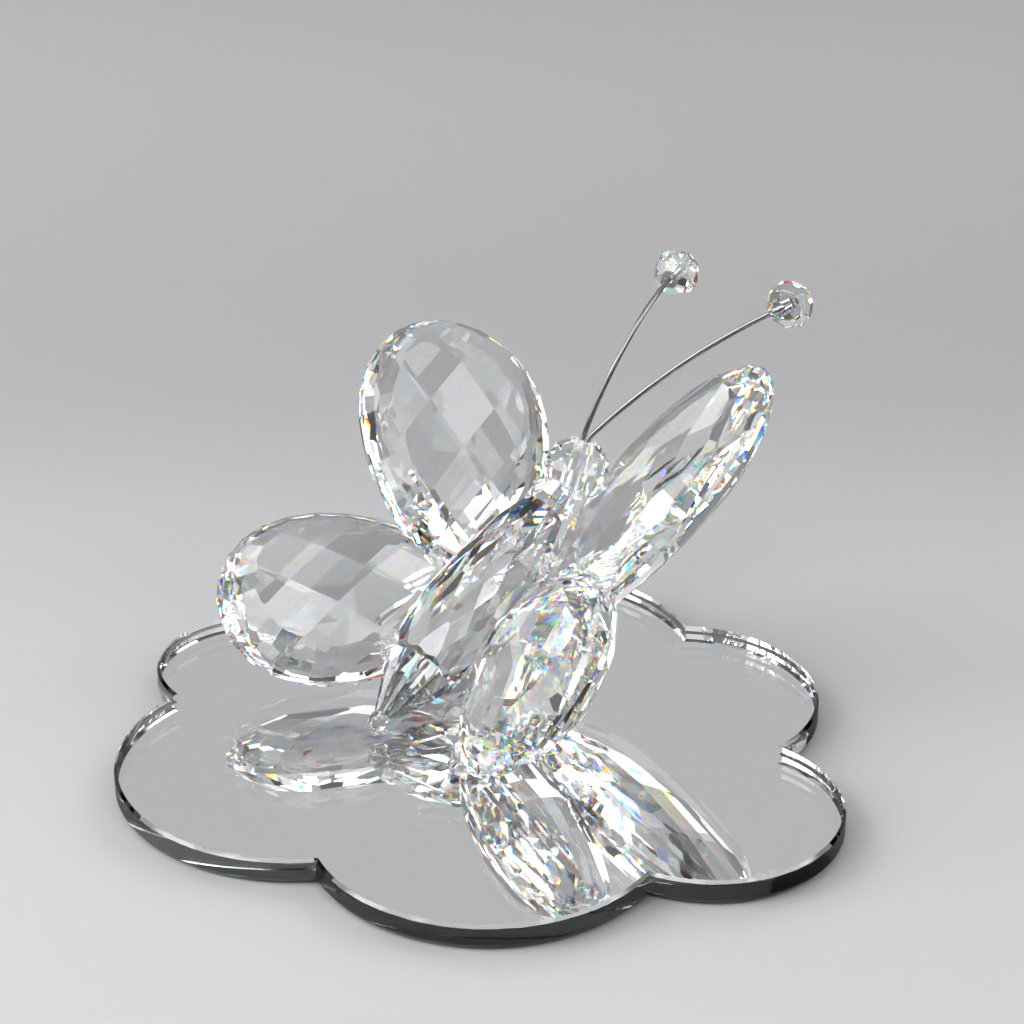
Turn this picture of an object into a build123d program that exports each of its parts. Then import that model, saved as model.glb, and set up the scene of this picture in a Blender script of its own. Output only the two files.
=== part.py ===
from build123d import *
import math
import os

os.makedirs("parts", exist_ok=True)

# Plate: clear glass, reflecting film and backing, six lobes between six notches
glass_thickness = 3.2
film_thickness = 0.1
backing_thickness = 0.1
plate_chamfer = 0.4
plate_radius = 45.0
notch_shares = (0.942, 0.747, 0.842, 0.916, 0.964, 0.722)
notch_angles = (162.7, 235.2, 306.4, 358.9, 46.5, 122.6)
lobe_shares = (1.027, 0.931, 1.147, 1.102, 1.093, 1.100)
lobe_angles = (200.7, 268.8, 331.5, 21.0, 77.1, 138.6)

# Body line: from the tail knob up to the head, in plan angle and rise
tail_x = -12.3
tail_y = 2.9
body_heading = 50.0
body_rise = 27.4
body_length = 46.7

# Tail cone with flutes and a round knob
knob_diameter = 3.0
tail_tip_width = 2.6
tail_end_width = 10.4
tail_start = 0.8
tail_end = 9.3
flute_count = 12
flute_depth_share = 0.14

# Abdomen: long drop cut in staggered rows
cement_line = 0.3
abdomen_stock_width = 12.8
abdomen_sides = 12
abdomen_row_shares = (0.05, 0.19, 0.33, 0.47, 0.61, 0.75, 0.89)
abdomen_width = 12.0
abdomen_width_shares = (0.868, 0.971, 1.0, 0.985, 0.916, 0.834, 0.670)
abdomen_row_tilts = (-10.8, -5.7, -0.6, 3.4, 6.4, 10.2, 15.9)
abdomen_neck_width = 6.4
abdomen_tail_width = 9.2
tail_cement_width = 8.6

# Neck bead, head bead and antenna bore
neck_width = 6.6
neck_length = 3.9
neck_sides = 12
neck_bevel = 1.1
head_diameter = 8.6
head_sides = 10
head_seat_share = 0.90
head_table_share = 0.95
bore_rise = 63.5
bore_diameter = 2.0
bead_diameter = 6.0
bead_sides = 8
ball_latitudes = (-52.0, -18.0, 18.0, 52.0)

# Antennae: steel wire with a bend at the head, one long arc and a straight end in the bead
wire_diameter = 0.7
wire_spacing = 0.95
wire_seat = 0.8
wire_seat_gap = 0.2
wire_grip = 2.4
bead_hole_diameter = 1.0
left_knee = 1.1
left_start_rise = 71.7
left_start_spread = 46.4
left_end_forward = 22.5
left_end_side = -1.5
left_end_up = 20.6
right_knee = 1.0
right_start_rise = 42.3
right_start_spread = 38.2
right_end_forward = 17.9
right_end_side = 19.8
right_end_up = 23.4

# Wings: pear outline, lozenge facets on both faces, bevelled rim, thin girdle
girdle_thickness = 0.8
wing_thickness = 10.0
rim_count = 28
rim_slope = 42.0
rim_kite_slope = 30.0
rim_kite_inset = 2.0
rim_rise_share = 0.30
pear_power = 0.47
pear_centre_share = 0.58
upper_length = 51.4
upper_width = 27.7
upper_lozenge_length = 17.0
upper_lozenge_width = 9.3
lower_length = 36.7
lower_width = 29.8
lower_lozenge_length = 11.5
lower_lozenge_width = 9.6
root_reach = 3.0
seat_gap = 0.2

# Wing places: root as a share of the body line, aside and above it; plan angle, rise and roll
upper_left_share = 0.557
upper_left_aside = -6.19
upper_left_above = -0.69
upper_left_turn = (91.9, 18.8, 13.9)
lower_left_share = 0.535
lower_left_aside = -5.62
lower_left_above = -2.53
lower_left_turn = (-166.6, -0.2, -21.8)
upper_right_share = 0.492
upper_right_aside = 6.71
upper_right_above = -5.89
upper_right_turn = (17.5, 46.2, 170.9)
lower_right_share = 0.530
lower_right_aside = 6.45
lower_right_above = -1.45
lower_right_turn = (-85.6, -0.6, -131.5)

# Cement beads at the wing roots and feet
root_cement_diameter = 5.0
foot_cement_diameter = 2.4
foot_cement_bite = 0.65
foot_gap = 0.05

# Derived frame of the body
plate_top = glass_thickness + film_thickness + backing_thickness
tail_point = Vector(tail_x, tail_y, plate_top + foot_gap + knob_diameter / 2)
turn = math.radians(body_heading)
rise = math.radians(body_rise)
forward_flat = Vector(math.cos(turn), math.sin(turn), 0)
side = Vector(math.sin(turn), -math.cos(turn), 0)
upward = Vector(0, 0, 1)
body_axis = forward_flat * math.cos(rise) + upward * math.sin(rise)
body_above = upward * math.cos(rise) - forward_flat * math.sin(rise)
body_plane = Plane(origin=tail_point, x_dir=side, z_dir=body_axis)
head_centre = tail_point + body_axis * body_length
bore_pitch = math.radians(bore_rise)
bore_axis = forward_flat * math.cos(bore_pitch) + upward * math.sin(bore_pitch)
head_plane = Plane(origin=head_centre, x_dir=side, z_dir=bore_axis)
mouth_height = head_diameter / 2 * head_table_share
head_seat = body_length - head_diameter / 2 * head_seat_share
neck_end = head_seat - cement_line
neck_start = neck_end - neck_length
abdomen_end = neck_start - cement_line


def polar(radius, angle):
    """Point of the plan at a radius and an angle."""
    return (radius * math.cos(math.radians(angle)), radius * math.sin(math.radians(angle)))


def cut_below(shape, point, normal):
    """What is left of a shape on the inner side of one facet plane."""
    return split(shape, bisect_by=Plane(origin=point, z_dir=normal), keep=Keep.BOTTOM)


def plate_outline():
    """Face of the scalloped plate: one arc per lobe."""
    arcs = []
    total = len(notch_shares)
    for i in range(total):
        after = (i + 1) % total
        start = polar(plate_radius * notch_shares[i], notch_angles[i])
        middle = polar(plate_radius * lobe_shares[i], lobe_angles[i])
        end = polar(plate_radius * notch_shares[after], notch_angles[after])
        arcs.append(ThreePointArc(start, middle, end))
    return make_face(Wire(arcs))


def plate_layer(bottom, thickness):
    """One flat layer of the plate."""
    return Pos(0, 0, bottom) * extrude(plate_outline(), amount=thickness)


def make_plate_glass():
    """Clear plate with a polished chamfer round its upper and lower rims."""
    glass = plate_layer(backing_thickness + film_thickness, glass_thickness)
    rims = glass.faces().sort_by(Axis.Z)[-1].edges() + glass.faces().sort_by(Axis.Z)[0].edges()
    return chamfer(rims, length=plate_chamfer)


def plate_film(bottom, thickness):
    """Thin layer under the glass, kept inside its lower chamfer."""
    inner = offset(plate_outline(), amount=-plate_chamfer)
    return Pos(0, 0, bottom) * extrude(inner, amount=thickness)


def star_face(width):
    """Fluted section: ridges and grooves in turn round a circle."""
    points = []
    for i in range(2 * flute_count):
        radius = width / 2 * (1 - flute_depth_share * (i % 2))
        points.append(polar(radius, 180 / flute_count * i))
    return make_face(Polyline(points, close=True))


def make_tail(growth=0):
    """Fluted cone and the knob at its tip."""
    small = Pos(0, 0, tail_start - growth) * star_face(tail_tip_width + 2 * growth)
    large = Pos(0, 0, tail_end + growth) * star_face(tail_end_width + 2 * growth)
    cone = loft([small, large], ruled=True)
    knob = Sphere(knob_diameter / 2 + growth)
    return body_plane.location * (cone + knob)


def make_abdomen(growth=0):
    """Long drop with staggered rows of facets and flat ends."""
    start = tail_end + cement_line
    length = abdomen_end - start
    section = RegularPolygon(abdomen_stock_width / 2 + growth, 2 * abdomen_sides)
    stock = extrude(section, amount=length + 2 * growth)
    drop = Pos(0, 0, start - growth) * stock
    for row, share in enumerate(abdomen_row_shares):
        tilt = math.radians(abdomen_row_tilts[row])
        reach = abdomen_width * abdomen_width_shares[row] / 2 + growth
        for i in range(abdomen_sides):
            angle = math.radians(360 / abdomen_sides * (i + 0.5 * (row % 2)))
            out = Vector(math.cos(angle), math.sin(angle), 0)
            normal = out * math.cos(tilt) + upward * math.sin(tilt)
            drop = cut_below(drop, out * reach + upward * (start + share * length), normal)
    for height, width, sign in ((start, abdomen_tail_width, -1), (abdomen_end, abdomen_neck_width, 1)):
        for i in range(abdomen_sides):
            angle = math.radians(360 / abdomen_sides * (i + 0.5))
            out = Vector(math.cos(angle), math.sin(angle), 0)
            normal = out + upward * sign
            drop = cut_below(drop, out * (width / 2 + growth) + upward * height, normal)
    return body_plane.location * drop


def cement_disc(bottom, top, width):
    """Thin round cement line across the body axis."""
    return body_plane.location * (Pos(0, 0, bottom) * extrude(Circle(width / 2), amount=top - bottom))


def make_neck():
    """Flat faceted bead between abdomen and head."""
    bottom = neck_start
    bead = Pos(0, 0, bottom) * extrude(RegularPolygon(neck_width / 2, neck_sides), amount=neck_length)
    reach = neck_width / 2 * math.cos(math.pi / neck_sides)
    for height, sign in ((bottom, -1), (bottom + neck_length, 1)):
        for i in range(neck_sides):
            angle = math.radians(360 / neck_sides * (i + 0.5))
            out = Vector(math.cos(angle), math.sin(angle), 0)
            bead = cut_below(bead, out * (reach - neck_bevel) + upward * height, out + upward * sign)
    return body_plane.location * bead


def faceted_ball(diameter, sides):
    """Ball cut in staggered rows of facets with a small flat at both ends."""
    radius = diameter / 2
    ball = Box(diameter, diameter, diameter * head_table_share)
    for row, latitude in enumerate(ball_latitudes):
        pitch = math.radians(latitude)
        for i in range(sides):
            angle = math.radians(360 / sides * (i + 0.5 * (row % 2)))
            out = Vector(math.cos(angle), math.sin(angle), 0)
            normal = out * math.cos(pitch) + upward * math.sin(pitch)
            ball = cut_below(ball, normal * radius, normal)
    return ball


def make_head():
    """Drilled head bead with a flat ground for the neck."""
    bore = Cylinder(bore_diameter / 2, 2 * head_diameter)
    ball = head_plane.location * (faceted_ball(head_diameter, head_sides) - bore)
    seat = head_centre - body_axis * (head_diameter / 2 * head_seat_share)
    return cut_below(ball, seat, body_axis * -1)


def make_bore_cement():
    """Cement plug filling the bore below the wire ends."""
    top = mouth_height - wire_seat - wire_seat_gap
    plug = Pos(0, 0, top - head_diameter) * extrude(Circle(bore_diameter / 2), amount=head_diameter)
    ball = head_plane.location * faceted_ball(head_diameter, head_sides)
    seat = head_centre - body_axis * (head_diameter / 2 * head_seat_share)
    return cut_below((head_plane.location * plug) & ball, seat, body_axis * -1)


def from_head(forward, across, height):
    """Point given forward, sideways and up from the head's centre."""
    return head_centre + forward_flat * forward + side * across + upward * height


def antenna_path(sign, knee, start_rise, start_spread, end):
    """Wire line: short seat in the bore, bend, long arc and straight end; and the line's end direction."""
    pitch = math.radians(start_rise)
    swing = math.radians(start_spread)
    away = forward_flat * math.cos(swing) + side * math.sin(swing)
    lead = away * math.cos(pitch) + upward * math.sin(pitch)
    mouth = head_centre + bore_axis * mouth_height + side * (sign * wire_spacing / 2)
    seat = Line(mouth - bore_axis * wire_seat, mouth)
    knee_point = mouth + (bore_axis + lead).normalized() * knee
    bend = TangentArc(mouth, knee_point, tangent=bore_axis)
    sweep_arc = TangentArc(knee_point, end, tangent=lead)
    last = (sweep_arc % 1).normalized()
    grip = Line(end, end + last * wire_grip)
    return Wire([seat, bend, sweep_arc, grip]), last


def make_antenna(sign, knee, start_rise, start_spread, end):
    """One antenna: wire, drilled bead and the cement in the bead's hole."""
    path, last = antenna_path(sign, knee, start_rise, start_spread, end)
    start = Plane(origin=path @ 0, z_dir=path % 0)
    wire = sweep(start * Circle(wire_diameter / 2), path=path)
    tip_plane = Plane(origin=end, z_dir=last)
    centre = Pos(0, 0, wire_grip - wire_seat_gap)
    hole = extrude(Circle(bead_hole_diameter / 2), amount=wire_grip + wire_seat_gap)
    stem = extrude(Circle(wire_diameter / 2), amount=wire_grip)
    round_bead = centre * faceted_ball(bead_diameter, bead_sides)
    low = Pos(0, 0, -bead_diameter) * extrude(Circle(bead_hole_diameter / 2), amount=bead_diameter)
    bead = tip_plane.location * (round_bead - hole - low)
    cement = tip_plane.location * (((hole + low) & round_bead) - stem)
    return wire, bead, cement - wire


def pear_points(length, width):
    """Corners of the pear outline, root end at the origin."""
    raw = []
    for i in range(rim_count):
        angle = 2 * math.pi * (i + 0.5) / rim_count
        raw.append((1 - math.cos(angle), math.sin(angle) * math.sin(angle / 2) ** pear_power))
    widest = max(y for x, y in raw)
    return [(length / 2 * x, width / 2 * y / widest) for x, y in raw]


def make_wing(length, width, lozenge_length, lozenge_width, growth=0):
    """Wing blank cut by rim bevels, kites and staggered lozenges on both faces, all moved out by the growth."""
    points = pear_points(length, width)
    outline = offset(make_face(Polyline(points, close=True)), amount=growth, kind=Kind.INTERSECTION)
    half = wing_thickness / 2
    wing = Pos(0, 0, -half - growth) * extrude(outline, amount=wing_thickness + 2 * growth)
    centre = length * pear_centre_share
    drop = half * (1 - rim_rise_share) - girdle_thickness / 2
    cross_curve = (width / 2) ** 2 / (2 * drop)
    long_curve = cross_curve * (lozenge_length / lozenge_width) ** 2
    slope = math.radians(rim_slope)
    kite = math.radians(rim_kite_slope)
    ridge_height = girdle_thickness / 2 + rim_kite_inset * math.tan(slope)
    for back, sign in enumerate((1, -1)):
        for i in range(rim_count):
            x0, y0 = points[i]
            x1, y1 = points[(i + 1) % rim_count]
            out = Vector(y0 - y1, x1 - x0, 0).normalized()
            normal = out * math.sin(slope) + upward * (sign * math.cos(slope))
            wing = cut_below(wing, Vector(x0, y0, sign * girdle_thickness / 2) + normal * growth, normal)
        for i in range(rim_count):
            x0, y0 = points[i - 1]
            x1, y1 = points[(i + 1) % rim_count]
            out = Vector(y0 - y1, x1 - x0, 0).normalized()
            normal = out * math.sin(kite) + upward * (sign * math.cos(kite))
            ridge = Vector(points[i][0], points[i][1], sign * ridge_height) - out * rim_kite_inset
            wing = cut_below(wing, ridge + normal * growth, normal)
        reach = int(length / lozenge_length) + 1
        for i in range(-2 * reach, 2 * reach + 1):
            for j in range(-2 * reach, 2 * reach + 1):
                x = lozenge_length / 2 * i
                y = lozenge_width / 2 * j
                height = half - x * x / (2 * long_curve) - y * y / (2 * cross_curve)
                if (i + j + back) % 2 or height < girdle_thickness / 2:
                    continue
                normal = Vector(x / long_curve, y / cross_curve, sign).normalized()
                wing = cut_below(wing, Vector(centre + x, y, sign * height) + normal * growth, normal)
    return one_solid(wing)


def root_point(share, aside, above):
    """Wing root beside the body line."""
    return tail_point + body_axis * (body_length * share) + side * aside + body_above * above


def set_down(wing):
    """Wing lowered or raised until its lowest corner stands just over the plate."""
    lowest = min(corner.Z for corner in wing.vertices())
    return Pos(0, 0, plate_top + foot_gap - lowest) * wing


def place_wing(wing, root, turns):
    """Wing set at its root point with its plan angle, rise and roll."""
    heading, lift, roll = (math.radians(value) for value in turns)
    flat = Vector(math.cos(heading), math.sin(heading), 0)
    axis = flat * math.cos(lift) + upward * math.sin(lift)
    across = Vector(-math.sin(heading), math.cos(heading), 0)
    above = axis.cross(across)
    normal = above * math.cos(roll) - across * math.sin(roll)
    origin = root - axis * root_reach
    return Plane(origin=origin, x_dir=axis, z_dir=normal).location * wing


def one_solid(shape):
    """Largest solid of a result."""
    return sorted(shape.solids(), key=lambda piece: piece.volume)[-1]


def save(shape, name):
    """Writes one piece."""
    export_step(one_solid(shape), "parts/" + name + ".step")


# Plate
save(make_plate_glass(), "plate_glass")
save(plate_film(backing_thickness, film_thickness), "plate_silvering")
save(plate_film(0, backing_thickness), "plate_backing")

# Body line
abdomen = make_abdomen()
abdomen_seat = make_abdomen(seat_gap)
tail = make_tail()
neck = make_neck()
head = make_head()
save(tail, "tail_cone")
save(abdomen, "abdomen")
save(neck, "neck_bead")
save(head, "head_bead")
tail_cement = cement_disc(tail_end, tail_end + cement_line, tail_cement_width)
save(tail_cement, "tail_cement")
save(cement_disc(abdomen_end, neck_start, abdomen_neck_width - 2 * neck_bevel), "neck_cement")
save(cement_disc(neck_end, head_seat, abdomen_neck_width - 2 * neck_bevel), "head_cement")
save(make_bore_cement(), "antenna_cement")

# Antennae
left_end = from_head(left_end_forward, left_end_side, left_end_up)
right_end = from_head(right_end_forward, right_end_side, right_end_up)
antennae = {
    "left": make_antenna(-1, left_knee, left_start_rise, left_start_spread, left_end),
    "right": make_antenna(1, right_knee, right_start_rise, right_start_spread, right_end),
}
for name, (wire, bead, cement) in antennae.items():
    save(wire, name + "_antenna_wire")
    save(bead, name + "_antenna_bead")
    save(cement, name + "_bead_cement")

# Wings: the lower ones ground to clear the upper ones and the tail
upper_sizes = (upper_length, upper_width, upper_lozenge_length, upper_lozenge_width)
lower_sizes = (lower_length, lower_width, lower_lozenge_length, lower_lozenge_width)
upper_wing = make_wing(*upper_sizes)
lower_wing = make_wing(*lower_sizes)
upper_room = make_wing(*upper_sizes, growth=seat_gap)
tail_room = make_tail(seat_gap)
upper_left_root = root_point(upper_left_share, upper_left_aside, upper_left_above)
lower_left_root = root_point(lower_left_share, lower_left_aside, lower_left_above)
upper_right_root = root_point(upper_right_share, upper_right_aside, upper_right_above)
lower_right_root = root_point(lower_right_share, lower_right_aside, lower_right_above)
upper_left = one_solid(place_wing(upper_wing, upper_left_root, upper_left_turn) - abdomen_seat)
upper_right = one_solid(place_wing(upper_wing, upper_right_root, upper_right_turn) - abdomen_seat)
left_room = place_wing(upper_room, upper_left_root, upper_left_turn)
right_room = place_wing(upper_room, upper_right_root, upper_right_turn)
lower_left = place_wing(lower_wing, lower_left_root, lower_left_turn)
lower_left = lower_left - abdomen_seat - left_room - tail_room
lower_right = set_down(place_wing(lower_wing, lower_right_root, lower_right_turn))
lower_right = lower_right - abdomen_seat - right_room - tail_room
wings = {
    "upper_left": upper_left,
    "lower_left": one_solid(lower_left),
    "upper_right": upper_right,
    "lower_right": one_solid(lower_right),
}
for name, wing in wings.items():
    save(wing, name + "_wing")

# Cement at the wing roots: a drop squeezed between wing and abdomen
taken = [abdomen, tail, tail_cement, neck, head] + list(wings.values())
for name, wing in wings.items():
    near, far = abdomen.closest_points(wing)
    drop = Pos(*(near + far) / 2) * Sphere(root_cement_diameter / 2)
    for piece in taken:
        drop = drop - piece
    drop = one_solid(drop)
    taken.append(drop)
    save(drop, name + "_root_cement")

# Cement feet on the plate
lowest = min(wings["lower_right"].vertices(), key=lambda corner: corner.Z)
foot = extrude(Circle(foot_cement_diameter / 2), amount=foot_gap + foot_cement_bite)
save(Pos(tail_point.X, tail_point.Y, plate_top) * foot - tail, "tail_foot_cement")
save(Pos(lowest.X, lowest.Y, plate_top) * foot - wings["lower_right"], "wing_foot_cement")
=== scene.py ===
"""Cut-glass butterfly on a scalloped mirror plate: finishes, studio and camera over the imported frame."""

import logging
import math
from dataclasses import dataclass
from enum import Enum
from typing import Sequence

import bpy
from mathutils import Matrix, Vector


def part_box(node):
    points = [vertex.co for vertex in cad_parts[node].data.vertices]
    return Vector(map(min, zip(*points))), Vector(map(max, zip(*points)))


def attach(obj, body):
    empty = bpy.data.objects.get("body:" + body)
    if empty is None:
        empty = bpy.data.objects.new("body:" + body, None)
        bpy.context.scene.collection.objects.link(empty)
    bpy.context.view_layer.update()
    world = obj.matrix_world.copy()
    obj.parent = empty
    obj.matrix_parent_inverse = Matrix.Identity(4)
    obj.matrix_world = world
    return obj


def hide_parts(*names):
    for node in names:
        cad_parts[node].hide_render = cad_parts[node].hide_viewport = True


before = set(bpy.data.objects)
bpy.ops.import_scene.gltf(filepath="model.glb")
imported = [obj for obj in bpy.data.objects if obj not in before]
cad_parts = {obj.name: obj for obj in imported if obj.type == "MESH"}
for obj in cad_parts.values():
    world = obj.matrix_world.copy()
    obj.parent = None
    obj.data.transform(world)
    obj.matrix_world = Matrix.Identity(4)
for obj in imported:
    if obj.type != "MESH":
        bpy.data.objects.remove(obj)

LOG = logging.getLogger("butterfly")
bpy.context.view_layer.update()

Socket = bpy.types.NodeSocket
Span = tuple[float, float]
Point = tuple[float, float, float]
Colour = tuple[float, float, float, float]
Stops = Sequence[tuple[float, Colour]]

# Corners nearer than this, in metres, are one corner.
MERGE_REACH = 0.000001
# Counts of a ray's turns nearer than this are equal.
COUNT_REACH = 0.1


class Side(Enum):
    """Left and right of the butterfly, looking along its heading."""

    LEFT = "left"
    RIGHT = "right"


class Rank(Enum):
    """Fore and hind wing of one side."""

    UPPER = "upper"
    LOWER = "lower"


def grey(value: float, blue: float = 1.0) -> Colour:
    """Gives a neutral or slightly cool colour.

    Args:
        value: its brightness.
        blue: its blue as a multiple of its red and green.

    Returns:
        The colour.
    """
    return (value, value, value * blue, 1.0)


def deselect_all() -> None:
    """Leaves nothing selected."""
    bpy.ops.object.select_all(action="DESELECT")


def take(piece: bpy.types.Object) -> None:
    """Makes one object the only selected and active one."""
    deselect_all()
    piece.select_set(True)
    bpy.context.view_layer.objects.active = piece


class Tree:
    """Short way to add and link the nodes of one tree."""

    def __init__(self, tree: bpy.types.NodeTree) -> None:
        """Starts with an empty tree.

        Args:
            tree: the node tree to fill.
        """
        self.tree = tree
        tree.nodes.clear()

    def add(self, kind: str, inputs: dict | None = None, **settings: object) -> bpy.types.Node:
        """Adds a node.

        Args:
            kind: the node's type name.
            inputs: socket name or number to a value, or to the output socket that feeds it.
            settings: attributes of the node.

        Returns:
            The new node.
        """
        node = self.tree.nodes.new(kind)
        for name, value in settings.items():
            setattr(node, name, value)
        for name, value in (inputs or {}).items():
            if isinstance(value, Socket):
                self.tree.links.new(value, node.inputs[name])
            else:
                node.inputs[name].default_value = value
        return node

    def place(self) -> Socket:
        """Gives the object's own coordinates."""
        return self.add("ShaderNodeTexCoord").outputs["Object"]

    def work_out(self, operation: str, *values: Socket | float) -> Socket:
        """Works out a number.

        Args:
            operation: the operation of the Math node.
            values: its numbers, or the sockets that feed them.

        Returns:
            The result.
        """
        return self.add("ShaderNodeMath", dict(enumerate(values)), operation=operation).outputs[0]

    def product(self, first: Socket, second: Socket) -> Socket:
        """Multiplies two numbers."""
        return self.work_out("MULTIPLY", first, second)

    def count_is(self, count: Socket, wanted: float) -> Socket:
        """Gives 1 where a count is the wanted one, and 0 elsewhere."""
        return self.work_out("COMPARE", count, wanted, COUNT_REACH)

    def compare_points(self, operation: str, first: Socket, second: Point) -> Socket:
        """Works out one number from two points.

        Args:
            operation: the operation of the Vector Math node.
            first: the socket of the first point.
            second: the second point.

        Returns:
            The number.
        """
        return self.add("ShaderNodeVectorMath", {0: first, 1: second}, operation=operation).outputs["Value"]

    def rescale(self, value: Socket, given: Span = (0.0, 1.0), wanted: Span = (0.0, 1.0)) -> Socket:
        """Maps one range of numbers to another, held at its ends.

        Args:
            value: the number.
            given: the range that it comes from.
            wanted: the range that it goes to.

        Returns:
            The new number.
        """
        return self.add("ShaderNodeMapRange", {"Value": value, "From Min": given[0], "From Max": given[1],
                                               "To Min": wanted[0], "To Max": wanted[1]}).outputs[0]

    def ramp(self, value: Socket, stops: Stops, interpolation: str = "LINEAR") -> Socket:
        """Adds a run of colours.

        Args:
            value: where along the run to read it.
            stops: place and colour of each stop, the first at 0 and the last at 1.
            interpolation: how the colours run from stop to stop.

        Returns:
            The colour.
        """
        node = self.add("ShaderNodeValToRGB", {"Fac": value})
        node.color_ramp.interpolation = interpolation
        elements = node.color_ramp.elements
        elements[0].color = stops[0][1]
        elements[1].color = stops[-1][1]
        for share, colour in stops[1:-1]:
            elements.new(share).color = colour
        return node.outputs[0]

    def blend(self, share: Socket, first: Socket, second: Socket | Colour) -> Socket:
        """Mixes two colours.

        Args:
            share: how much of the second one.
            first: the colour at 0.
            second: the colour at 1.

        Returns:
            The mixed colour.
        """
        return self.add("ShaderNodeMix", {0: share, 6: first, 7: second}, data_type="RGBA").outputs[2]

    def mix_shaders(self, share: Socket | float, first: Socket, second: Socket) -> Socket:
        """Mixes two shaders.

        Args:
            share: how much of the second one.
            first: the shader at 0.
            second: the shader at 1.

        Returns:
            The mixed shader.
        """
        return self.add("ShaderNodeMixShader", {0: share, 1: first, 2: second}).outputs[0]

    def bump(self, height: Socket, strength: float, depth: float) -> Socket:
        """Turns heights into a normal.

        Args:
            height: the height, 0 to 1.
            strength: how much of it counts.
            depth: its full height in metres.

        Returns:
            The normal.
        """
        return self.add("ShaderNodeBump", {"Height": height, "Strength": strength, "Distance": depth}).outputs[0]

    def principled(self, inputs: dict) -> Socket:
        """Adds a Principled shader with these inputs."""
        return self.add("ShaderNodeBsdfPrincipled", inputs).outputs[0]

    def glass_ray(self) -> Socket:
        """Gives 1 on a ray that glass or metal has sent on, and 0 on any other."""
        path = self.add("ShaderNodeLightPath").outputs
        return self.work_out("MAXIMUM", path["Is Glossy Ray"], path["Is Transmission Ray"])


def new_material(name: str) -> tuple[bpy.types.Material, Tree]:
    """Starts a node material.

    Args:
        name: the material's name.

    Returns:
        The material and its emptied tree.
    """
    material = bpy.data.materials.new(name)
    material.use_nodes = True
    return material, Tree(material.node_tree)


def polish_group() -> bpy.types.NodeTree:
    """Builds the faint unevenness that wheel polishing leaves on glass, once.

    Returns:
        The node group, with a Vector and a Scale input and a Height output.
    """
    name = "polish_waves"
    if name in bpy.data.node_groups:
        return bpy.data.node_groups[name]
    group = bpy.data.node_groups.new(name, "ShaderNodeTree")
    group.interface.new_socket("Vector", in_out="INPUT", socket_type="NodeSocketVector")
    group.interface.new_socket("Scale", in_out="INPUT", socket_type="NodeSocketFloat")
    group.interface.new_socket("Height", in_out="OUTPUT", socket_type="NodeSocketFloat")
    tree = Tree(group)
    entry = tree.add("NodeGroupInput").outputs
    waves = tree.add("ShaderNodeTexNoise", {"Vector": entry["Vector"], "Scale": entry["Scale"],
                                            "Detail": 1.0, "Roughness": 0.4})
    tree.add("NodeGroupOutput", {"Height": waves.outputs["Fac"]})
    return group


def polish_normal(tree: Tree, scale: float, depth: float) -> Socket:
    """Adds a polished surface's normal to a material.

    Args:
        tree: the material's tree.
        scale: waves per metre.
        depth: height of the waves in metres.

    Returns:
        The normal.
    """
    waves = tree.add("ShaderNodeGroup", {"Vector": tree.place(), "Scale": scale}, node_tree=polish_group())
    return tree.bump(waves.outputs["Height"], 1.0, depth)


# Bands of the spectrum: step of the index, then red, green and blue. Each colour adds up to 1.
SPECTRUM: tuple[tuple[float, float, float, float], ...] = (
    (-1.0, 0.45, 0.00, 0.00),
    (-0.6, 0.40, 0.15, 0.00),
    (-0.2, 0.15, 0.45, 0.00),
    (0.25, 0.00, 0.35, 0.25),
    (0.65, 0.00, 0.05, 0.45),
    (1.0, 0.00, 0.00, 0.30),
)


@dataclass(frozen=True)
class CrystalFinish:
    """Clear cut glass that spreads white light into colours where light first enters it."""

    name: str = "cut_crystal"
    index: float = 1.56
    spread: float = 0.010
    clearness: float = 0.99
    shadow_veil: float = 0.9
    wave_scale: float = 90.0
    wave_depth: float = 0.0000015

    def glass(self, tree: Tree, colour: Colour, index: float, normal: Socket) -> Socket:
        """Adds one polished glass.

        Args:
            tree: the material's tree.
            colour: the light that it lets through.
            index: its index of refraction.
            normal: its polished surface.

        Returns:
            The shader.
        """
        return tree.add("ShaderNodeBsdfGlass", {"Color": colour, "Roughness": 0.0, "IOR": index,
                                                "Normal": normal}).outputs[0]

    def split_light(self, tree: Tree, normal: Socket) -> Socket:
        """Mixes equal shares of a glass for each band of the spectrum.

        Args:
            tree: the material's tree.
            normal: the polished surface.

        Returns:
            The shader.
        """
        whole = self.clearness * len(SPECTRUM)
        bands = [self.glass(tree, (red * whole, green * whole, blue * whole, 1.0), self.index + step * self.spread,
                            normal) for step, red, green, blue in SPECTRUM]
        split = bands[0]
        for number, band in enumerate(bands[1:], start=2):
            split = tree.mix_shaders(1.0 / number, split, band)
        return split

    def make(self) -> bpy.types.Material:
        """Builds the material: colours where light first enters and in the mirror, plain glass elsewhere."""
        material, tree = new_material(self.name)
        normal = polish_normal(tree, self.wave_scale, self.wave_depth)
        white = self.glass(tree, grey(self.clearness), self.index, normal)
        split = self.split_light(tree, normal)
        path = tree.add("ShaderNodeLightPath").outputs
        mirrored = tree.product(tree.count_is(path["Ray Depth"], 3.0), tree.count_is(path["Glossy Depth"], 1.0))
        later = tree.mix_shaders(mirrored, white, split)
        seen = tree.mix_shaders(path["Is Camera Ray"], later, split)
        veil = tree.add("ShaderNodeBsdfTransparent", {"Color": grey(self.shadow_veil)}).outputs[0]
        tree.add("ShaderNodeOutputMaterial", {"Surface": tree.mix_shaders(path["Is Shadow Ray"], seen, veil)})
        return material


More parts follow.
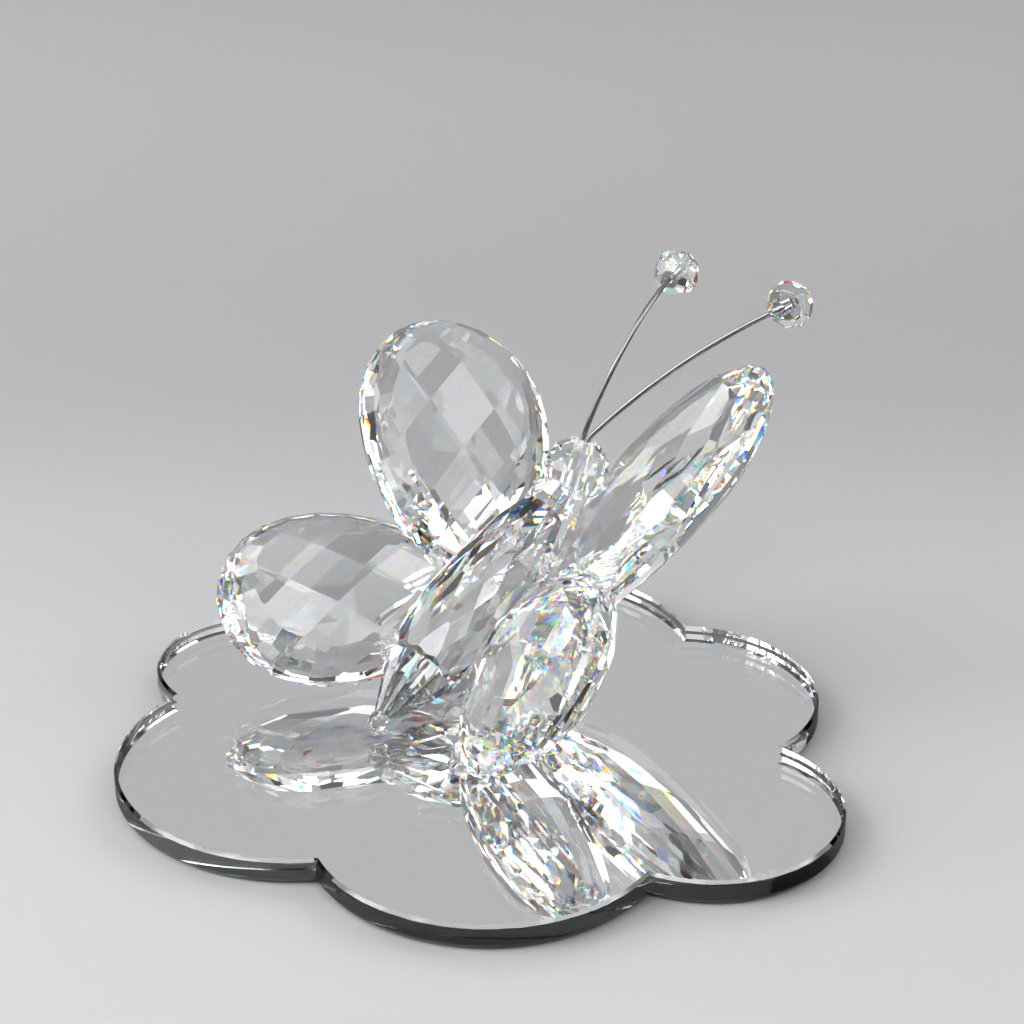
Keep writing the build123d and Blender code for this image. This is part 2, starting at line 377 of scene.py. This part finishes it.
@dataclass(frozen=True)
class PlateGlassFinish:
    """Clear float glass with polished edges, greyer the more of it light crosses."""

    name: str = "plate_glass"
    index: float = 1.52
    tint: Colour = (0.0, 0.03, 0.07, 1.0)
    density: float = 24.0

    def make(self) -> bpy.types.Material:
        """Builds the material."""
        material, tree = new_material(self.name)
        glass = tree.principled({"Base Color": grey(1.0), "Roughness": 0.0, "IOR": self.index,
                                 "Transmission Weight": 1.0})
        depth = tree.add("ShaderNodeVolumeAbsorption", {"Color": self.tint, "Density": self.density}).outputs[0]
        tree.add("ShaderNodeOutputMaterial", {"Surface": glass, "Volume": depth})
        return material


@dataclass(frozen=True)
class SilveringFinish:
    """Reflecting film behind the plate."""

    name: str = "silvering"
    colour: Colour = (0.93, 0.93, 0.92, 1.0)

    def make(self) -> bpy.types.Material:
        """Builds the material."""
        material, tree = new_material(self.name)
        metal = tree.principled({"Base Color": self.colour, "Metallic": 1.0, "Roughness": 0.0})
        tree.add("ShaderNodeOutputMaterial", {"Surface": metal})
        return material


@dataclass(frozen=True)
class BackingFinish:
    """Matt grey coat that protects the film."""

    name: str = "backing_coat"
    dark: Colour = (0.13, 0.135, 0.14, 1.0)
    light: Colour = (0.19, 0.195, 0.20, 1.0)
    speck_scale: float = 900.0
    speck_depth: float = 0.00005
    roughness: float = 0.6

    def make(self) -> bpy.types.Material:
        """Builds the material."""
        material, tree = new_material(self.name)
        specks = tree.add("ShaderNodeTexNoise", {"Vector": tree.place(), "Scale": self.speck_scale,
                                                 "Detail": 4.0}).outputs["Fac"]
        coat = tree.principled({"Base Color": tree.ramp(specks, ((0.0, self.dark), (1.0, self.light))),
                                "Roughness": self.roughness, "Normal": tree.bump(specks, 0.4, self.speck_depth)})
        tree.add("ShaderNodeOutputMaterial", {"Surface": coat})
        return material


@dataclass(frozen=True)
class WireFinish:
    """Bright drawn steel."""

    name: str = "drawn_steel"
    dark: Colour = (0.14, 0.14, 0.145, 1.0)
    light: Colour = (0.26, 0.26, 0.26, 1.0)
    line_scale: float = 4000.0
    roughness: Span = (0.14, 0.32)

    def make(self) -> bpy.types.Material:
        """Builds the material."""
        material, tree = new_material(self.name)
        lines = tree.add("ShaderNodeTexNoise", {"Vector": tree.place(), "Scale": self.line_scale,
                                                "Detail": 3.0}).outputs["Fac"]
        steel = tree.principled({"Base Color": tree.ramp(lines, ((0.0, self.dark), (1.0, self.light))),
                                 "Metallic": 1.0, "Roughness": tree.rescale(lines, wanted=self.roughness)})
        tree.add("ShaderNodeOutputMaterial", {"Surface": steel})
        return material


@dataclass(frozen=True)
class CementFinish:
    """Clear cured cement with tiny bubbles."""

    name: str = "clear_cement"
    clearness: float = 0.97
    index: float = 1.5
    roughness: float = 0.06
    bubble_scale: float = 2600.0
    bubble_depth: float = 0.00008

    def make(self) -> bpy.types.Material:
        """Builds the material."""
        material, tree = new_material(self.name)
        bubbles = tree.add("ShaderNodeTexVoronoi", {"Vector": tree.place(), "Scale": self.bubble_scale})
        normal = tree.bump(bubbles.outputs["Distance"], 0.5, self.bubble_depth)
        cement = tree.principled({"Base Color": grey(self.clearness), "Roughness": self.roughness,
                                  "IOR": self.index, "Transmission Weight": 1.0, "Normal": normal})
        tree.add("ShaderNodeOutputMaterial", {"Surface": cement})
        return material


def dress(node: str, material: bpy.types.Material) -> bpy.types.Object:
    """Gives one CAD node its finish.

    Args:
        node: the node's name.
        material: the finish.

    Returns:
        The node's object.
    """
    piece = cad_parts[node]
    piece.data.materials.clear()
    piece.data.materials.append(material)
    LOG.info("%s takes %s", node, material.name)
    return piece


def set_back(piece: bpy.types.Object, gap: float) -> None:
    """Draws a cement piece back from the glass that it touches.

    Args:
        piece: the CAD node's object.
        gap: how far, in metres.
    """
    weld = piece.modifiers.new("weld", "WELD")
    weld.merge_threshold = MERGE_REACH
    shrink = piece.modifiers.new("set_back", "DISPLACE")
    shrink.strength = -gap
    shrink.mid_level = 0.0


@dataclass
class MirrorPlate:
    """Scalloped mirror: clear glass, reflecting film and backing coat."""

    film_bite: float = 0.00001
    face_reach: float = 0.000005
    glass: PlateGlassFinish = PlateGlassFinish()
    film: SilveringFinish = SilveringFinish()
    coat: BackingFinish = BackingFinish()

    def build(self) -> None:
        """Dresses the plate and lays the film against the glass."""
        dress("plate_glass", self.glass.make())
        dress("plate_backing", self.coat.make())
        self.lay_film()

    def lay_film(self) -> None:
        """Makes the film that stands for its CAD node, its face just inside the glass."""
        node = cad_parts["plate_silvering"]
        film = node.copy()
        film.data = node.data.copy()
        film.name = "silver_film"
        film.parent = None
        bpy.context.scene.collection.objects.link(film)
        film.data.materials.clear()
        film.data.materials.append(self.film.make())
        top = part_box("plate_silvering")[1].z
        take(film)
        bpy.ops.object.mode_set(mode="EDIT")
        bpy.ops.mesh.select_all(action="SELECT")
        bpy.ops.mesh.remove_doubles(threshold=MERGE_REACH)
        bpy.ops.mesh.select_all(action="DESELECT")
        bpy.ops.object.mode_set(mode="OBJECT")
        for corner in film.data.vertices:
            corner.select = corner.co.z > top - self.face_reach
        bpy.ops.object.mode_set(mode="EDIT")
        bpy.ops.transform.translate(value=(0.0, 0.0, self.film_bite))
        bpy.ops.object.mode_set(mode="OBJECT")
        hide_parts("plate_silvering")
        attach(film, "ornament")
        LOG.info("silver_film laid under the glass")


@dataclass
class Butterfly:
    """Crystal pieces, their cement and the antennae."""

    cement_gap: float = 0.00002
    bead: CrystalFinish = CrystalFinish("bead_crystal")
    # The body and wing copies of the one crystal are greyer than the beads' copy: painted shade that darkens their
    # facets and rims.
    body: CrystalFinish = CrystalFinish("body_crystal_painted_shade", clearness=0.82)
    wing: CrystalFinish = CrystalFinish("wing_crystal_painted_shade", clearness=0.96)
    cement: CementFinish = CementFinish()
    wire: WireFinish = WireFinish()

    def build(self) -> None:
        """Dresses every piece of the butterfly."""
        bead = self.bead.make()
        body = self.body.make()
        wing = self.wing.make()
        cement = self.cement.make()
        steel = self.wire.make()
        for node in ("tail_cone", "abdomen"):
            dress(node, body)
        for node in ("neck_bead", "head_bead"):
            dress(node, bead)
        for joint in ("tail", "neck", "head", "antenna", "tail_foot", "wing_foot"):
            set_back(dress(f"{joint}_cement", cement), self.cement_gap)
        for side in Side:
            dress(f"{side.value}_antenna_wire", steel)
            dress(f"{side.value}_antenna_bead", bead)
            set_back(dress(f"{side.value}_bead_cement", cement), self.cement_gap)
            for rank in Rank:
                dress(f"{rank.value}_{side.value}_wing", wing)
                set_back(dress(f"{rank.value}_{side.value}_root_cement", cement), self.cement_gap)


@dataclass(frozen=True)
class FloorFinish:
    """Pale matt paper with a painted light falloff in its tone from front to back, and a painted shade that only
    glass and metal see, darker away from the plate.
    """

    name: str = "floor_paper"
    run: Span = (-0.10, 0.50)
    # Paper colour with a painted light falloff: lighter in front, a darker band further back, darkest far away.
    paper_tones_with_painted_falloff: Sequence[Span] = ((0.0, 0.80), (0.15, 0.78), (0.28, 0.63), (0.35, 0.51), (0.46, 0.51), (0.64, 0.58),
                             (1.0, 0.34))
    coolness: float = 1.015
    # Painted shade that only glass and metal see: the floor is darkened a little near a point behind the plate and
    # far more away from it.
    painted_shade_shape: Point = (1.0, 0.72, 0.0)
    painted_shade_centre: Point = (0.0, 0.11, 0.0)
    painted_shade_edge: Span = (0.04, 0.16)
    painted_shade: Span = (0.08, 0.80)

    def make(self) -> bpy.types.Material:
        """Builds the material."""
        material, tree = new_material(self.name)
        place = tree.place()
        parts = tree.add("ShaderNodeSeparateXYZ", {0: place}).outputs
        # Paper colour with its painted light falloff along Y.
        tone = tree.ramp(tree.rescale(parts["Y"], self.run),
                         [(share, grey(value, self.coolness)) for share, value in self.paper_tones_with_painted_falloff], "B_SPLINE")
        shaped = tree.add("ShaderNodeVectorMath", {0: place, 1: self.painted_shade_shape}, operation="MULTIPLY").outputs[0]
        far = tree.compare_points("DISTANCE", shaped, self.painted_shade_centre)
        # Painted shade, mixed towards black on glass and metal rays only.
        painted_shade = tree.product(tree.glass_ray(), tree.rescale(far, self.painted_shade_edge, self.painted_shade))
        paper = tree.principled({"Base Color": tree.blend(painted_shade, tone, grey(0.0)), "Roughness": 0.9,
                                 "Specular IOR Level": 0.1})
        tree.add("ShaderNodeOutputMaterial", {"Surface": paper})
        return material


@dataclass(frozen=True)
class Lamp:
    """One soft rectangular lamp."""

    name: str
    place: Point
    width: float
    height: float
    watts: float

    def hang(self, aim: Point) -> None:
        """Hangs the lamp and turns it.

        Args:
            aim: the point that it faces.
        """
        data = bpy.data.lights.new(self.name, "AREA")
        data.shape = "RECTANGLE"
        data.size = self.width
        data.size_y = self.height
        data.energy = self.watts
        lamp = bpy.data.objects.new(self.name, data)
        lamp.location = self.place
        lamp.rotation_euler = (Vector(aim) - Vector(self.place)).to_track_quat("-Z", "Y").to_euler()
        bpy.context.scene.collection.objects.link(lamp)


@dataclass(frozen=True)
class Room:
    """Surrounding light by direction: X to the right, Y away from the camera, Z up. Edges are soft spans."""

    horizon: Stops = ((0.0, (0.42, 0.42, 0.43, 1.0)), (0.16, grey(0.45, 1.02)), (0.26, grey(0.57, 1.02)),
                      (0.62, grey(0.60, 1.02)), (0.75, grey(0.24, 1.02)), (1.0, grey(0.20)))
    front_edge: Span = (0.30, 0.65)
    front_light: Span = (0.10, 1.0)
    panel_scale: float = 6.0
    panel_chance: Span = (0.50, 1.0)
    panel_light: Span = (0.02, 1.4)
    roof_edge: Span = (0.70, 0.76)
    strip_count: float = 2.5
    strip_share: float = 0.5
    strip_light: Span = (0.1, 2.4)
    ahead_edge: Span = (0.15, 0.0)
    foot_edge: Span = (0.36, 0.33)
    foot_light: float = 0.25
    band: Stops = ((0.0, grey(0.0)), (0.33, grey(0.0)), (0.38, grey(1.0)), (0.56, grey(1.0)), (0.60, grey(0.0)),
                   (1.0, grey(0.0)))
    band_edge: Span = (0.55, 0.40)
    band_light: float = 0.9
    back_edge: Span = (0.55, 0.70)
    back_top: Span = (0.66, 0.62)
    bow_axis: Point = (0.0, 0.394, 0.919)
    bow_turn: float = 0.525
    bow_half_width: float = 0.035
    bow_light: float = 12.0

    def panels(self, tree: Tree, view: Socket) -> Socket:
        """Adds random light and dark panels.

        Args:
            tree: the world's tree.
            view: the direction.

        Returns:
            Their brightness.
        """
        cells = tree.add("ShaderNodeTexVoronoi", {"Vector": view, "Scale": self.panel_scale})
        chance = tree.add("ShaderNodeSeparateColor", {0: cells.outputs["Color"]})
        return tree.rescale(chance.outputs[0], self.panel_chance, self.panel_light)

    def strips(self, tree: Tree, across: Socket) -> Socket:
        """Adds the overhead strips.

        Args:
            tree: the world's tree.
            across: how far to the right the direction goes.

        Returns:
            Their brightness.
        """
        share = tree.work_out("FRACT", tree.work_out("MULTIPLY", across, self.strip_count))
        return tree.rescale(tree.work_out("GREATER_THAN", share, self.strip_share), wanted=self.strip_light)

    def glass_light(self, tree: Tree, view: Socket, horizon: Socket) -> Socket:
        """Adds the light that only glass and metal see, the steps of tone in the facets.

        Args:
            tree: the world's tree.
            view: the direction.
            horizon: the plain light of the room.

        Returns:
            The colour.
        """
        parts = tree.add("ShaderNodeSeparateXYZ", {0: view}).outputs
        ahead = tree.rescale(parts["Y"], self.ahead_edge)
        roof = tree.blend(tree.rescale(parts["Z"], self.roof_edge), self.panels(tree, view),
                          self.strips(tree, parts["X"]))
        foot = tree.product(tree.rescale(parts["Z"], self.foot_edge), ahead)
        low = tree.blend(foot, roof, grey(self.foot_light))
        band = tree.product(tree.ramp(parts["Z"], self.band), tree.rescale(parts["Y"], self.band_edge))
        wall = tree.blend(band, low, grey(self.band_light))
        back = tree.product(tree.rescale(parts["Y"], self.back_edge), tree.rescale(parts["Z"], self.back_top))
        whole = tree.blend(back, wall, horizon)
        turn = tree.compare_points("DOT_PRODUCT", view, self.bow_axis)
        bow = tree.product(tree.work_out("COMPARE", turn, self.bow_turn, self.bow_half_width), ahead)
        return tree.blend(bow, whole, grey(self.bow_light))

    def make(self) -> bpy.types.World:
        """Builds the world: grey round the horizon, dimmer on the camera's side."""
        world = bpy.data.worlds.new("studio_room")
        world.use_nodes = True
        tree = Tree(world.node_tree)
        view = tree.add("ShaderNodeTexCoord").outputs["Generated"]
        parts = tree.add("ShaderNodeSeparateXYZ", {0: view}).outputs
        horizon = tree.ramp(parts["Z"], self.horizon)
        dim = tree.rescale(parts["Y"], self.front_edge, self.front_light)
        soft = tree.add("ShaderNodeVectorMath", {0: horizon, "Scale": dim}, operation="SCALE").outputs[0]
        seen = tree.blend(tree.glass_ray(), soft, self.glass_light(tree, view, horizon))
        light = tree.add("ShaderNodeBackground", {"Color": seen}).outputs[0]
        tree.add("ShaderNodeOutputWorld", {"Surface": light})
        return world


@dataclass
class Studio:
    """Pale floor, soft lamps, surrounding light and the photograph's camera."""

    floor_size: float = 6.0
    floor_drop: float = 0.0001
    floor: FloorFinish = FloorFinish()
    room: Room = Room()
    lamp_aim: Point = (0.0, 0.02, 0.02)
    lamps: Sequence[Lamp] = (
        Lamp("top_left_lamp", (-0.32, -0.05, 0.88), 0.26, 0.60, 1.16),
        Lamp("top_right_lamp", (0.12, -0.05, 0.92), 0.26, 0.60, 0.90),
        Lamp("left_lamp", (-0.75, 0.0, 0.40), 0.45, 0.70, 4.85),
        Lamp("right_lamp", (0.75, 0.10, 0.35), 0.35, 0.60, 1.9),
        Lamp("front_left_strip", (-0.585, -0.527, 0.616), 0.10, 0.55, 0.7),
        Lamp("front_right_strip", (0.473, -0.525, 0.707), 0.10, 0.50, 0.6),
        Lamp("back_left_lamp", (-0.506, 0.542, 0.394), 0.22, 0.24, 0.80),
        Lamp("back_right_strip", (0.40, 0.70, 0.43), 0.12, 0.24, 0.60),
    )
    camera_place: Point = (0.00539, -0.38296, 0.24164)
    camera_tilt: float = 28.0
    lens: float = 119.53
    sensor_width: float = 36.0
    clip_start: float = 0.01
    bounces: int = 32
    mirror_bounces: int = 16
    brightest_bounce: float = 6.0

    def build(self) -> None:
        """Makes the whole stage."""
        self.lay_floor()
        for lamp in self.lamps:
            lamp.hang(self.lamp_aim)
        bpy.context.scene.world = self.room.make()
        self.set_camera()
        self.set_light_paths()

    def lay_floor(self) -> None:
        """Makes the floor."""
        deselect_all()
        bpy.ops.mesh.primitive_plane_add(size=self.floor_size, location=(0.0, 0.0, -self.floor_drop))
        floor = bpy.context.active_object
        floor.name = "floor"
        floor.data.materials.append(self.floor.make())

    def set_camera(self) -> None:
        """Sets the photograph's camera."""
        data = bpy.data.cameras.new("photo_camera")
        data.lens = self.lens
        data.sensor_width = self.sensor_width
        data.clip_start = self.clip_start
        camera = bpy.data.objects.new("photo_camera", data)
        camera.location = self.camera_place
        camera.rotation_euler = (math.radians(90.0 - self.camera_tilt), 0.0, 0.0)
        bpy.context.scene.collection.objects.link(camera)
        bpy.context.scene.camera = camera

    def set_light_paths(self) -> None:
        """Lets light cross many facets, and sets plain colours."""
        scene = bpy.context.scene
        scene.view_settings.view_transform = "Standard"
        scene.cycles.max_bounces = self.bounces
        scene.cycles.transmission_bounces = self.bounces
        scene.cycles.glossy_bounces = self.mirror_bounces
        scene.cycles.caustics_reflective = False
        scene.cycles.caustics_refractive = False
        scene.cycles.sample_clamp_indirect = self.brightest_bounce
        scene.cycles.denoising_input_passes = "RGB"


def main() -> None:
    """Builds the plate, the butterfly and the studio."""
    logging.basicConfig(level=logging.INFO)
    MirrorPlate().build()
    Butterfly().build()
    Studio().build()


if __name__ == "__main__":
    main()
